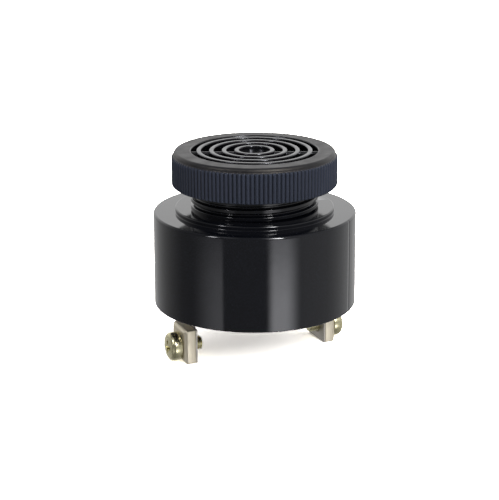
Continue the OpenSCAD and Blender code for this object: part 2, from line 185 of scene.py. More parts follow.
def rounded(corners, steps=6, guard=0.04):
    """A section through corners (r, z, fillet).

    Each fillet has a guard point on both its straights, to keep flats flat.
    """
    points = []
    for i, corner in enumerate(corners):
        here = np.array(corner[:2], float)
        if len(corner) < 3:
            points.append(here)
            continue
        back = np.array(corners[i - 1][:2], float) - here
        ahead = np.array(corners[i + 1][:2], float) - here
        back /= np.linalg.norm(back)
        ahead /= np.linalg.norm(ahead)
        half = math.acos(np.clip(back @ ahead, -1, 1)) / 2
        reach = corner[2] / math.tan(half)
        middle = (back + ahead) / np.linalg.norm(back + ahead)
        centre = here + middle * corner[2] / math.sin(half)
        points.append(here + back * (reach + guard))
        for k in range(steps + 1):
            along = here + (back * (1 - k / steps) + ahead * (k / steps)) * reach - centre
            points.append(centre + along / np.linalg.norm(along) * corner[2])
        points.append(here + ahead * (reach + guard))
    return points


def run(start, end, step):
    """Points along a straight, both ends included."""
    count = max(1, math.ceil(math.dist(start, end) / step))
    return [np.array(start) + (np.array(end) - np.array(start)) * k / count for k in range(count + 1)]


def turned(name, section, angles, shift=None, threaded=None):
    """A closed section, or one from axis to axis, turned about Z. Angles are in radians.

    shift gives the (r, z) move of each row at each angle, and threaded the rows that a thread is cut in.
    """
    section = np.asarray(section, float)
    poles = section[0, 0] < ON_AXIS and section[-1, 0] < ON_AXIS
    rows, columns = len(section), len(angles)
    grid = np.repeat(section[:, None, :], columns, axis=1)
    if shift is not None:
        grid = grid + shift
    cos, sin = np.cos(angles), np.sin(angles)
    verts = np.stack([grid[..., 0] * cos, grid[..., 0] * sin, grid[..., 1]], -1).reshape(-1, 3)
    at = np.arange(rows * columns).reshape(rows, columns)
    if poles:
        at[0], at[-1] = at[0, 0], at[-1, 0]
    faces = []
    for i in range(rows - 1 if poles else rows):
        low, high = at[i], at[(i + 1) % rows]
        for j in range(columns):
            k = (j + 1) % columns
            quad = dict.fromkeys((int(low[j]), int(low[k]), int(high[k]), int(high[j])))
            faces.append(tuple(quad))
    used = np.unique(at)
    new_index = np.full(rows * columns, -1)
    new_index[used] = np.arange(len(used))
    obj = piece(name, verts[used], [tuple(int(new_index[v]) for v in f) for f in faces])
    if threaded is not None:
        mask = np.repeat(np.asarray(threaded, bool)[:, None], columns, axis=1).reshape(-1)[used]
        layer = obj.data.attributes.new("threaded", "BOOLEAN", "POINT")
        layer.data.foreach_set("value", mask)
    return obj


def smooth(obj, sharp_angle):
    """Smooth shading, broken at edges sharper than the angle."""
    obj.data.shade_smooth()
    obj.data.set_sharp_from_angle(angle=math.radians(sharp_angle))


def place(obj, matrix):
    """Moves a piece's mesh, and leaves its object at the origin."""
    obj.data.transform(matrix)
    obj.data.update()
    return obj


def settle(obj):
    """Takes the evaluated mesh as the piece's own and removes its modifiers."""
    depsgraph = bpy.context.evaluated_depsgraph_get()
    mesh = bpy.data.meshes.new_from_object(obj.evaluated_get(depsgraph))
    obj.modifiers.clear()
    obj.data = mesh
    return obj


def join(objs):
    """Joins pieces into the first one."""
    with bpy.context.temp_override(active_object=objs[0], selected_editable_objects=objs):
        bpy.ops.object.join()


# Geometry Nodes

def new_tree(name, sizes):
    """A tree with a geometry in and out, named sizes and a material. Gives the tree and its input sockets."""
    tree = bpy.data.node_groups.new(name, "GeometryNodeTree")
    tree.interface.new_socket("Geometry", in_out="INPUT", socket_type="NodeSocketGeometry")
    for label, kind in sizes.items():
        tree.interface.new_socket(label, in_out="INPUT", socket_type=kind)
    tree.interface.new_socket("Material", in_out="INPUT", socket_type="NodeSocketMaterial")
    tree.interface.new_socket("Geometry", in_out="OUTPUT", socket_type="NodeSocketGeometry")
    return tree, add_node(tree, "NodeGroupInput").outputs


def end_tree(tree, geometry, material):
    """Realize Instances and Set Material, then the output."""
    solid = add_node(tree, "GeometryNodeRealizeInstances", {"Geometry": geometry})
    dressed = add_node(tree, "GeometryNodeSetMaterial", {"Geometry": solid, "Material": material})
    add_node(tree, "NodeGroupOutput", {"Geometry": dressed})
    return tree


def grow(obj, tree, values):
    """Runs a tree on a piece and keeps the result as its plain mesh."""
    modifier = obj.modifiers.new(tree.name, "NODES")
    modifier.node_group = tree
    for item in tree.interface.items_tree:
        if item.in_out == "INPUT" and item.name in values:
            modifier[item.identifier] = values[item.name]
    return settle(obj)


def around_axis(tree):
    """The angle about Z as a share of a turn, the radius, and the point's own coordinates."""
    at = add_node(tree, "ShaderNodeSeparateXYZ", {0: add_node(tree, "GeometryNodeInputPosition")}).outputs
    angle = add_node(tree, "ShaderNodeMath", {0: at["Y"], 1: at["X"]}, operation="ARCTAN2")
    share = add_node(tree, "ShaderNodeMath", {0: angle, 1: TURN}, operation="DIVIDE")
    flat = add_node(tree, "ShaderNodeCombineXYZ", {"X": at["X"], "Y": at["Y"]})
    radius = add_node(tree, "ShaderNodeVectorMath", {0: flat}, operation="LENGTH").outputs["Value"]
    return share, radius, at


def moved_to_radius(tree, geometry, at, radius, new_radius, selection=True):
    """Sets the points' distance from the axis, at the same angle and height."""
    ratio = add_node(tree, "ShaderNodeMath", {0: new_radius, 1: radius}, operation="DIVIDE")
    x = add_node(tree, "ShaderNodeMath", {0: at["X"], 1: ratio}, operation="MULTIPLY")
    y = add_node(tree, "ShaderNodeMath", {0: at["Y"], 1: ratio}, operation="MULTIPLY")
    spot = add_node(tree, "ShaderNodeCombineXYZ", {"X": x, "Y": y, "Z": at["Z"]})
    return add_node(
        tree, "GeometryNodeSetPosition", {"Geometry": geometry, "Selection": selection, "Position": spot}
    )


def wave(tree, phase):
    """1 at whole phases, 0 half way between, straight in between."""
    part = add_node(tree, "ShaderNodeMath", {0: phase}, operation="FRACT")
    twice = add_node(tree, "ShaderNodeMath", {0: part, 1: 2.0, 2: -1.0}, operation="MULTIPLY_ADD")
    return add_node(tree, "ShaderNodeMath", {0: twice}, operation="ABSOLUTE")


def make_thread_tree():
    """Cuts a right-hand thread with flat crests and rounded edges into the rows marked as threaded.

    Side is 1 on a shank, where the cut only takes away, and -1 in a bore, where it only widens.
    """
    tree, sizes = new_tree("screw_thread", {
        "Crest radius": NUMBER, "Root radius": NUMBER, "Pitch": NUMBER, "Crest height": NUMBER,
        "Crest share": NUMBER, "Root share": NUMBER, "Side": NUMBER,
    })
    share, radius, at = around_axis(tree)
    rise = add_node(tree, "ShaderNodeMath", {0: at["Z"], 1: sizes["Crest height"]}, operation="SUBTRACT")
    turns = add_node(tree, "ShaderNodeMath", {0: rise, 1: sizes["Pitch"]}, operation="DIVIDE")
    phase = add_node(tree, "ShaderNodeMath", {0: turns, 1: share}, operation="SUBTRACT")
    crest_from = add_node(tree, "ShaderNodeMath", {0: 1.0, 1: sizes["Crest share"]}, operation="SUBTRACT")
    cut = add_node(tree, "ShaderNodeMapRange", {
        "Value": wave(tree, phase), "From Min": sizes["Root share"], "From Max": crest_from,
        "To Min": sizes["Root radius"], "To Max": sizes["Crest radius"],
    }, interpolation_type="SMOOTHSTEP")
    sides = [
        add_node(tree, "ShaderNodeMath", {0: value, 1: sizes["Side"]}, operation="MULTIPLY")
        for value in (radius, cut)
    ]
    least = add_node(tree, "ShaderNodeMath", {0: sides[0], 1: sides[1]}, operation="MINIMUM")
    new_radius = add_node(tree, "ShaderNodeMath", {0: least, 1: sizes["Side"]}, operation="MULTIPLY")
    marked = add_node(tree, "GeometryNodeInputNamedAttribute", {"Name": "threaded"}, data_type="BOOLEAN")
    cut_mesh = moved_to_radius(tree, sizes["Geometry"], at, radius, new_radius, marked)
    return end_tree(tree, cut_mesh, sizes["Material"])


def make_knurl_tree():
    """Presses sharp valleys into whatever stands outside their radius, with rounded ridges between."""
    tree, sizes = new_tree("knurl", {"Ridges": NUMBER, "Valley radius": NUMBER, "Ridge radius": NUMBER})
    share, radius, at = around_axis(tree)
    phase = add_node(tree, "ShaderNodeMath", {0: share, 1: sizes["Ridges"]}, operation="MULTIPLY")
    off_ridge = wave(tree, phase)
    fall = add_node(tree, "ShaderNodeMath", {0: off_ridge, 1: off_ridge}, operation="MULTIPLY")
    ridge = add_node(tree, "ShaderNodeMapRange", {
        "Value": fall, "From Min": 1.0, "From Max": 0.0,
        "To Min": sizes["Valley radius"], "To Max": sizes["Ridge radius"],
    })
    new_radius = add_node(tree, "ShaderNodeMath", {0: radius, 1: ridge}, operation="MINIMUM")
    pressed = moved_to_radius(tree, sizes["Geometry"], at, radius, new_radius)
    return end_tree(tree, pressed, sizes["Material"])


def swept_bar(tree, path, width, height, edge, caps):
    """A bar along a path, with its section's corners rounded."""
    box = add_node(tree, "GeometryNodeCurvePrimitiveQuadrilateral", {"Width": width, "Height": height})
    section = add_node(tree, "GeometryNodeFilletCurve", {
        "Curve": box, "Count": BAR_EDGE_STEPS, "Radius": edge,
    }, mode="POLY")
    return add_node(tree, "GeometryNodeCurveToMesh", {
        "Curve": path, "Profile Curve": section, "Fill Caps": caps,
    })


def make_ring_tree():
    """Adds concentric rings to a piece, counted from the outermost inwards."""
    tree, sizes = new_tree("concentric_rings", {
        "Rings": "NodeSocketInt", "Outer ring": NUMBER, "Ring step": NUMBER, "Ring width": NUMBER,
        "Ring height": NUMBER, "Edge": NUMBER, "Middle height": NUMBER,
    })
    index = add_node(tree, "GeometryNodeInputIndex")
    inward = add_node(tree, "ShaderNodeMath", {0: index, 1: sizes["Ring step"]}, operation="MULTIPLY")
    radius = add_node(tree, "ShaderNodeMath", {0: sizes["Outer ring"], 1: inward}, operation="SUBTRACT")
    level = add_node(tree, "ShaderNodeCombineXYZ", {"Z": sizes["Middle height"]})
    seeds = add_node(tree, "GeometryNodeMeshLine", {
        "Count": sizes["Rings"], "Start Location": level, "Offset": (0, 0, 0),
    })
    circle = add_node(tree, "GeometryNodeCurvePrimitiveCircle", {"Resolution": RING_COLUMNS, "Radius": 1.0})
    circles = add_node(tree, "GeometryNodeInstanceOnPoints", {
        "Points": seeds, "Instance": circle, "Scale": radius,
    })
    paths = add_node(tree, "GeometryNodeRealizeInstances", {"Geometry": circles})
    rings = swept_bar(tree, paths, sizes["Ring width"], sizes["Ring height"], sizes["Edge"], False)
    skin = add_node(tree, "GeometryNodeMeshBoolean", {
        "Mesh 2": [sizes["Geometry"], rings],
    }, operation="UNION", solver="MANIFOLD")
    return end_tree(tree, skin, sizes["Material"])


def make_bar_tree():
    """Adds bars to a piece, that run outwards from the axis at even angles."""
    tree, sizes = new_tree("radial_bars", {
        "Inner end": NUMBER, "Outer end": NUMBER, "Bar width": NUMBER, "Bar height": NUMBER, "Edge": NUMBER,
        "Middle height": NUMBER, "First angle": NUMBER,
    })
    ends = [
        add_node(tree, "ShaderNodeCombineXYZ", {"X": sizes[end], "Z": sizes["Middle height"]})
        for end in ("Inner end", "Outer end")
    ]
    line = add_node(tree, "GeometryNodeCurvePrimitiveLine", {"Start": ends[0], "End": ends[1]})
    bar = swept_bar(tree, line, sizes["Bar height"], sizes["Bar width"], sizes["Edge"], True)
    seeds = add_node(tree, "GeometryNodeMeshLine", {"Count": BAR_COUNT, "Offset": (0, 0, 0)})
    index = add_node(tree, "GeometryNodeInputIndex")
    turn = add_node(tree, "ShaderNodeMath", {
        0: index, 1: TURN / BAR_COUNT, 2: sizes["First angle"],
    }, operation="MULTIPLY_ADD")
    heading = add_node(tree, "ShaderNodeCombineXYZ", {"Z": turn})
    bars = add_node(tree, "GeometryNodeInstanceOnPoints", {
        "Points": seeds, "Instance": bar, "Rotation": heading,
    })
    solid = add_node(tree, "GeometryNodeRealizeInstances", {"Geometry": bars})
    skin = add_node(tree, "GeometryNodeMeshBoolean", {
        "Mesh 2": [sizes["Geometry"], solid],
    }, operation="UNION", solver="MANIFOLD")
    return end_tree(tree, skin, sizes["Material"])


# Materials

def new_material(name):
    """A material with its shader, and the object coordinates that its patterns read."""
    material = bpy.data.materials.new(name)
    material.use_nodes = True
    tree = material.node_tree
    shader = tree.nodes["Principled BSDF"]
    place_of = add_node(tree, "ShaderNodeTexCoord").outputs["Object"]
    return material, tree, shader, place_of


def finish(name, colour, mottle, roughness, patch_mm, grain_mm, grain_depth_mm, metallic=0.0, ior=None):
    """A surface whose colour and gloss vary in patches, with a grain in relief.

    Fine grains are drawn coarser than the real ones, so that they show in the render.
    """
    material, tree, shader, at = new_material(name)
    patches = add_node(tree, "ShaderNodeTexNoise", {
        "Vector": at, "Scale": 1 / (patch_mm * MM), "Detail": PATCH_DETAIL,
    })
    grain = add_node(tree, "ShaderNodeTexNoise", {
        "Vector": at, "Scale": 1 / (grain_mm * MM), "Detail": GRAIN_DETAIL,
    })
    tint = add_node(tree, "ShaderNodeMix", {
        0: patches, 6: linear(colour), 7: linear(mottle),
    }, data_type="RGBA")
    gloss = add_node(tree, "ShaderNodeMapRange", {
        "Value": patches, "From Min": NOISE_SPAN[0], "From Max": NOISE_SPAN[1],
        "To Min": roughness[0], "To Max": roughness[1],
    })
    relief = add_node(tree, "ShaderNodeBump", {
        "Height": grain, "Distance": grain_depth_mm * MM, "Strength": 1.0,
    })
    tree.links.new(tint.outputs[2], shader.inputs["Base Color"])
    tree.links.new(gloss.outputs[0], shader.inputs["Roughness"])
    tree.links.new(relief.outputs[0], shader.inputs["Normal"])
    shader.inputs["Metallic"].default_value = metallic
    if ior:
        shader.inputs["IOR"].default_value = ior
    return material


def zoned_by_radius(material):
    """Makes the bezel's skin glossier in the grille and duller on the knurl's crests. The grille's colour is
    blackened with painted shade, and the crests' colour is paled with a painted highlight.
    """
    tree = material.node_tree
    shader = tree.nodes["Principled BSDF"]
    spot = add_node(tree, "ShaderNodeTexCoord").outputs["Object"]
    at = add_node(tree, "ShaderNodeSeparateXYZ", {0: spot}).outputs
    flat = add_node(tree, "ShaderNodeCombineXYZ", {"X": at["X"], "Y": at["Y"]})
    radius = add_node(tree, "ShaderNodeVectorMath", {0: flat}, operation="LENGTH").outputs["Value"]
    grille = add_node(tree, "ShaderNodeMapRange", {
        "Value": radius,
        "From Min": (OPENING_R + GRILLE_FADE[0]) * MM, "From Max": (OPENING_R + GRILLE_FADE[1]) * MM,
    })
    crest = add_node(tree, "ShaderNodeMapRange", {
        "Value": radius, "From Min": VALLEY_R * MM, "From Max": (VALLEY_R + CREST_ZONE_H) * MM,
    })
    tint = shader.inputs["Base Color"].links[0].from_socket
    gloss = shader.inputs["Roughness"].links[0].from_socket
    # Painted shade: the grille's base colour is blackened, standing in for the shade in its gaps and along
    # its ring walls
    shaded_grille = add_node(tree, "ShaderNodeMix", {0: grille, 6: tint, 7: linear(GRILLE_PAINTED_SHADE)}, data_type="RGBA")
    # Painted highlight: the knurl's crests are paler, standing in for the light caught on the ridge tops
    highlighted_crest = add_node(tree, "ShaderNodeMix", {
        0: crest, 6: shaded_grille.outputs[2], 7: linear(CREST_PAINTED_HIGHLIGHT),
    }, data_type="RGBA")
    smoother = add_node(tree, "ShaderNodeMath", {
        0: grille, 1: GRILLE_ROUGHNESS, 2: gloss,
    }, operation="MULTIPLY_ADD")
    polish = add_node(tree, "ShaderNodeMath", {
        0: grille, 1: GRILLE_SPECULAR, 2: SKIN_SPECULAR,
    }, operation="MULTIPLY_ADD")
    sheen = add_node(tree, "ShaderNodeMath", {
        0: crest, 1: CREST_SPECULAR, 2: polish,
    }, operation="MULTIPLY_ADD")
    warmth = add_node(tree, "ShaderNodeMix", {
        0: grille, 6: linear(RIM_CAST), 7: linear(GRILLE_CAST),
    }, data_type="RGBA")
    cast = add_node(tree, "ShaderNodeMix", {
        0: crest, 6: warmth.outputs[2], 7: linear(CREST_CAST),
    }, data_type="RGBA")
    tree.links.new(highlighted_crest.outputs[2], shader.inputs["Base Color"])
    tree.links.new(smoother.outputs[0], shader.inputs["Roughness"])
    tree.links.new(sheen.outputs[0], shader.inputs["Specular IOR Level"])
    tree.links.new(cast.outputs[2], shader.inputs["Specular Tint"])
    return material


# Black ABS from a polished mould: deep black with clear reflections that waver a little over the flats
polished_abs = finish(
    "polished_black_abs", "#07080d", "#0b0d13", roughness=(0.06, 0.12),
    patch_mm=6.0, grain_mm=5.0, grain_depth_mm=0.012, ior=1.5,
)
# Black ABS from a spark-eroded mould: a satin blue-black skin with a fine grit, polished only in the grille,
# with painted shade blackening the grille and a painted highlight paling the knurl's crests
grained_abs = zoned_by_radius(
    finish(
        "grained_black_abs", "#101219", "#151820", roughness=(0.38, 0.48),
        patch_mm=3.0, grain_mm=0.12, grain_depth_mm=0.006, ior=1.5,
    )
)
# Tinned brass strip: a pale grey metal with soft reflections and faint rolling patches
tinned_brass = finish(
    "tinned_brass_strip", "#bcb7ae", "#d0cbc1", roughness=(0.45, 0.6),
    patch_mm=1.6, grain_mm=0.15, grain_depth_mm=0.006, metallic=1.0,
)
# Nickel-plated brass plate: warmer and brighter than the strip, clouded by handling
nickel_plate = finish(
    "nickel_plated_brass", "#ddd4bd", "#e8e0cc", roughness=(0.42, 0.56),
    patch_mm=1.8, grain_mm=0.2, grain_depth_mm=0.006, metallic=1.0,
)
# Steel with a pale yellow zinc passivate: straw and grey-green patches over a bright metal
yellow_zinc = finish(
    "yellow_zinc_steel", "#e0dab6", "#c6c09a", roughness=(0.2, 0.34),
    patch_mm=0.9, grain_mm=0.25, grain_depth_mm=0.003, metallic=1.0,
)
# Cast black epoxy: a wet-looking black, slightly uneven where it set
black_epoxy = finish(
    "cast_black_epoxy", "#121214", "#1a1a1c", roughness=(0.12, 0.3),
    patch_mm=5.0, grain_mm=3.0, grain_depth_mm=0.03,
)
# Rolled brass disc: yellow metal with a soft sheen and dull spots
rolled_brass = finish(
    "rolled_brass_disc", "#b08d3f", "#c29f52", roughness=(0.25, 0.42),
    patch_mm=3.0, grain_mm=0.3, grain_depth_mm=0.003, metallic=1.0,
)
# Silvered ceramic: the fired silver electrode, pale and matt
silvered_ceramic = finish(
    "silvered_ceramic", "#c9c6bd", "#d9d6cd", roughness=(0.45, 0.6),
    patch_mm=2.0, grain_mm=0.15, grain_depth_mm=0.004, metallic=0.6,
)
# White silicone bead: milky and soft, with a smeared skin
white_silicone = finish(
    "white_silicone", "#dedcd5", "#e8e6e0", roughness=(0.4, 0.55),
    patch_mm=2.0, grain_mm=0.8, grain_depth_mm=0.02,
)
# Glass-epoxy board under green solder mask: a deep green, half glossy and slightly mottled
solder_mask = finish(
    "green_solder_mask", "#23502f", "#2f6a3c", roughness=(0.25, 0.4),
    patch_mm=4.0, grain_mm=0.5, grain_depth_mm=0.01,
)
# Black transfer-moulded epoxy, as on small semiconductors: matt, with a fine grit
moulded_case = finish(
    "moulded_component_case", "#1b1b1d", "#242427", roughness=(0.5, 0.65),
    patch_mm=1.0, grain_mm=0.15, grain_depth_mm=0.006,
)
# Lacquered resistor body: tan enamel, thick and glossy
resistor_lacquer = finish(
    "resistor_lacquer", "#bf9a66", "#cbaa79", roughness=(0.25, 0.35),
    patch_mm=1.0, grain_mm=0.6, grain_depth_mm=0.01,
)
# Shrunk PVC sleeve of a small capacitor: slate blue and half glossy
capacitor_sleeve = finish(
    "capacitor_sleeve", "#2c3a54", "#354765", roughness=(0.3, 0.4),
    patch_mm=1.5, grain_mm=0.5, grain_depth_mm=0.006,
)
# PVC wire covering in three colours: smooth, with a slight waxy bloom
red_pvc = finish(
    "red_pvc_lead", "#a01f24", "#b3292c", roughness=(0.3, 0.42),
    patch_mm=1.5, grain_mm=0.4, grain_depth_mm=0.004,
)
blue_pvc = finish(
    "blue_pvc_lead", "#234a97", "#2d58aa", roughness=(0.3, 0.42),
    patch_mm=1.5, grain_mm=0.4, grain_depth_mm=0.004,
)
black_pvc = finish(
    "black_pvc_lead", "#111113", "#1a1a1c", roughness=(0.3, 0.42),
    patch_mm=1.5, grain_mm=0.4, grain_depth_mm=0.004,
)
# Tin solder: bright, with dull frosted patches where it froze
solder_tin = finish(
    "tin_solder", "#b4b6b8", "#cdcfd0", roughness=(0.2, 0.45),
    patch_mm=0.8, grain_mm=0.3, grain_depth_mm=0.01, metallic=1.0,
)

thread_tree = make_thread_tree()
knurl_tree = make_knurl_tree()
ring_tree = make_ring_tree()
bar_tree = make_bar_tree()


# Pieces

def spread(count, seams=(), half_w=0.0):
    """Even angles round the axis, with a narrow column on each side of every seam."""
    angles = [TURN * k / count for k in range(count)]
    for seam in seams:
        angles += [math.radians(seam % 360) - half_w, math.radians(seam % 360) + half_w]
    return np.array(sorted(angles))


def make_housing():
    """Body, shoulder and threaded neck, with the mould's parting line and the board ribs inside."""
    neck_top_r = NECK_R - NECK_CHAMFER
    outside = rounded([
        (CAVITY_R + RIM_CHAMFER, RIM_Z), (RIM_R, RIM_Z, RIM_EDGE), (BODY_R, FRONT_Z, BODY_EDGE),
        (SEAT_R, FRONT_Z, SEAT_FOOT), (SEAT_R, SEAT_Z, SEAT_EDGE), (NECK_R, SEAT_Z),
    ])
    neck = run((NECK_R, SEAT_Z), (NECK_R, NECK_Z - NECK_CHAMFER), THREAD_STEP)[1:]
    neck += run((NECK_R, NECK_Z - NECK_CHAMFER), (neck_top_r, NECK_Z), THREAD_STEP)[1:]
    # The inside starts just inwards of the neck's last point, so that no two points meet
    inside = rounded([
        (neck_top_r - POINT_GAP, NECK_Z), (NECK_BORE_R, NECK_Z, BORE_EDGE), (NECK_BORE_R, ROOF_Z, BORE_EDGE),
        (SUPPORT_IN_R, ROOF_Z, SUPPORT_ROOT), (SUPPORT_IN_R, SUPPORT_Z, SUPPORT_EDGE),
        (SUPPORT_OUT_R, SUPPORT_Z, SUPPORT_EDGE), (SUPPORT_OUT_R, ROOF_Z, SUPPORT_ROOT),
        (CAVITY_R, ROOF_Z, CAVITY_CORNER), (CAVITY_R, RIM_Z + RIM_CHAMFER),
    ])
    section = outside + neck + inside
    angles = spread(HOUSING_COLUMNS, PARTING_ANGLES, PARTING_HALF_W / BODY_R)
    # The parting line is a fine groove up the outer side, that runs out on the rounded front edge
    skin = np.array(outside)
    along = np.gradient(skin, axis=0)
    on_body = skin[:, 0] > PARTING_LEAST_R
    facing_out = np.clip(along[:, 1] / np.linalg.norm(along, axis=1), 0, 1) * on_body
    shift = np.zeros((len(section), len(angles), 2))
    for seam in PARTING_ANGLES:
        column = np.abs(angles - math.radians(seam % 360)).argmin()
        shift[:len(outside), column, 0] = -facing_out * PARTING_DEPTH
    threaded = [False] * (len(outside) - 1) + [True] * (len(neck) + 1) + [False] * len(inside)
    housing = turned("housing_moulding", section, angles, shift, threaded)
    grow(housing, thread_tree, {
        "Crest radius": NECK_R * MM, "Root radius": (NECK_R - THREAD_DEPTH) * MM, "Pitch": PITCH * MM,
        "Crest height": CREST_Z * MM, "Crest share": CREST_SHARE, "Root share": ROOT_SHARE, "Side": 1.0,
        "Material": polished_abs,
    })
    rib_top = ROOF_Z + RIB_EMBED
    return grow(housing, bar_tree, {
        "Inner end": RIB_R * MM, "Outer end": (CAVITY_R + RIB_EMBED) * MM, "Bar width": RIB_W * MM,
        "Bar height": (rib_top - RIB_LOW_Z) * MM, "Edge": RIB_EDGE * MM,
        "Middle height": (rib_top + RIB_LOW_Z) / 2 * MM, "First angle": math.radians(RIB_ANGLE),
        "Material": polished_abs,
    })


def make_bezel():
    """The knurled screw cap with the grille in its face and the thread in its bore."""
    knurl_top = FACE_Z - CORNER_H
    ridge_end = knurl_top - RIDGE_END_H
    chamfer_top = BEZEL_Z + REAR_CHAMFER
    lead_in_top = BEZEL_Z + LEAD_IN_H
    corner_r = VALLEY_R - CORNER_INSET
    root_r = NECK_R - THREAD_DEPTH + THREAD_CLEAR
    bore_r = NECK_R + THREAD_CLEAR
    side = run((BEZEL_R - REAR_CHAMFER, BEZEL_Z), (BEZEL_R, chamfer_top), FINE_STEP)
    side += run((BEZEL_R, chamfer_top), (BEZEL_R, ridge_end), LONG_STEP)[1:]
    side += run((BEZEL_R, ridge_end), (corner_r, knurl_top), FINE_STEP)[1:]
    rim = rounded([
        (corner_r, knurl_top), (corner_r, FACE_Z, CORNER_ROUND), (OPENING_R, FACE_Z, OPENING_EDGE),
        (OPENING_R, CEILING_Z, CEILING_EDGE), (bore_r, CEILING_Z),
    ])[1:]
    bore = run((bore_r, CEILING_Z), (bore_r, CEILING_Z - RELIEF_H), LONG_STEP)[1:]
    bore += run((root_r, CEILING_Z - RELIEF_END), (root_r, lead_in_top), BORE_STEP)
    bore += run((root_r, lead_in_top), (bore_r, BEZEL_Z), BORE_STEP)[1:]
    section = side + rim + bore
    threaded = [False] * (len(section) - len(bore) + 1) + [True] * (len(bore) - 1)
    cap = turned("bezel_cap", section, spread(KNURL_COUNT * RIDGE_COLUMNS), threaded=threaded)
    grow(cap, knurl_tree, {
        "Ridges": float(KNURL_COUNT), "Valley radius": VALLEY_R * MM, "Ridge radius": BEZEL_R * MM,
        "Material": grained_abs,
    })
    grow(cap, thread_tree, {
        "Crest radius": bore_r * MM, "Root radius": root_r * MM, "Pitch": PITCH * MM,
        "Crest height": CREST_Z * MM, "Crest share": CREST_SHARE, "Root share": ROOT_SHARE, "Side": -1.0,
        "Material": grained_abs,
    })
    dish_rim = FACE_Z - DISH_DROP
    shares = [k / DISH_STEPS for k in range(DISH_STEPS, -1, -1)]
    bowl = [np.array((DISH_R * share, dish_rim - DISH_SAG * (1 - share ** 2))) for share in shares]
    dish = turned("centre_dish", [(0, CEILING_Z), (DISH_R, CEILING_Z)] + bowl, spread(DISH_COLUMNS))
    join([cap, dish])
    face_t = FACE_Z - CEILING_Z
    grow(cap, ring_tree, {
        "Rings": RING_COUNT, "Outer ring": OUTER_RING_R * MM, "Ring step": RING_STEP * MM,
        "Ring width": RING_W * MM, "Ring height": face_t * MM, "Edge": RING_EDGE * MM,
        "Middle height": (CEILING_Z + face_t / 2) * MM, "Material": grained_abs,
    })
    spoke_h = face_t - SPOKE_DROP
    return grow(cap, bar_tree, {
        "Inner end": DISH_R * MM, "Outer end": (OPENING_R + SPOKE_EMBED) * MM, "Bar width": SPOKE_W * MM,
        "Bar height": spoke_h * MM, "Edge": SPOKE_EDGE * MM, "Middle height": (CEILING_Z + spoke_h / 2) * MM,
        "First angle": math.radians(SPOKE_ANGLE), "Material": grained_abs,
    })


def inset_loop(outline, outward, depth, least_r=0.05):
    """An outline moved inwards. Deeper than its corners' own radius, each corner keeps the least one."""
    moved = outline - outward * depth
    if depth < PAD_CORNER - least_r:
        return moved
    low, high = outline.min(0) + depth + least_r, outline.max(0) - depth - least_r
    return np.clip(moved, low, high) + outward * least_r


def make_plate(name, outline, hole_r, x, thickness, edge, bevel=0.0):
    """A stamped plate facing along X with eased edges and a round hole, as one closed skin.

    The outline runs anticlockwise in (y, z). Each of its points has a partner on the hole's edge. The bevel
    is cut around the outer face.
    """
    outline = np.array(outline, float)
    hole = np.array((0.0, SCREW_Z))
    before, after = np.roll(outline, 1, axis=0), np.roll(outline, -1, axis=0)
    along = after - before
    outward = np.stack([along[:, 1], -along[:, 0]], -1) / np.linalg.norm(along, axis=1, keepdims=True)
    ray = outline - hole
    ray = ray / np.linalg.norm(ray, axis=1, keepdims=True)
    eased = [(1 - math.cos(a), 1 - math.sin(a)) for a in np.linspace(0, TURN / 4, EASE_STEPS)]
    brow, size = (BEVEL_SLOPE, bevel) if bevel else (eased, edge)
    loops = []
    for inset, drop in brow:
        loops.append((inset_loop(outline, outward, size * inset), thickness - size * drop))
    loops.append((inset_loop(outline, outward, FLAT_INSET * size), thickness))
    for inset, drop in reversed(eased):
        loops.append((hole + ray * (hole_r + edge * inset), thickness - edge * drop))
    for inset, drop in eased:
        loops.append((hole + ray * (hole_r + edge * inset), edge * drop))
    loops.append((inset_loop(outline, outward, FLAT_INSET * edge), 0.0))
    for inset, drop in reversed(eased):
        loops.append((inset_loop(outline, outward, edge * inset), edge * drop))
    count = len(outline)
    verts = [(x + height, p[0], p[1]) for loop, height in loops for p in loop]
    faces = []
    for i in range(len(loops)):
        low, high = i * count, (i + 1) % len(loops) * count
        for j in range(count):
            k = (j + 1) % count
            faces.append((low + j, low + k, high + k, high + j))
    return piece(name, verts, faces)


def rounded_loop(corners, radius, step=0.6, corner_steps=5):
    """A closed outline with its corners rounded and its straights divided."""
    bends = rounded([corners[-1]] + [(*c, radius) for c in corners] + [corners[0]], corner_steps)[1:-1]
    loop = []
    for here, ahead in zip(bends, bends[1:] + bends[:1]):
        loop += run(here, ahead, step)[:-1]
    return loop


def pad_outline():
    """The square pad with round corners, anticlockwise from its lower right corner."""
    half = PAD_W / 2
    return rounded_loop([(half, 0), (half, PAD_H), (-half, PAD_H), (-half, 0)], PAD_CORNER)


def strip_outline():
    """The pad, the neck that runs up into the resin, and the tail that goes through the board."""
    right = [
        (PAD_W / 2, 0), (PAD_W / 2, PAD_H), (STRIP_W / 2, PAD_H), (STRIP_W / 2, NECK_END_Z),
        (TAIL_W / 2, NECK_END_Z), (TAIL_W / 2, TAIL_END_Z),
    ]
    return rounded_loop(right + [(-y, z) for y, z in reversed(right)], PAD_CORNER)


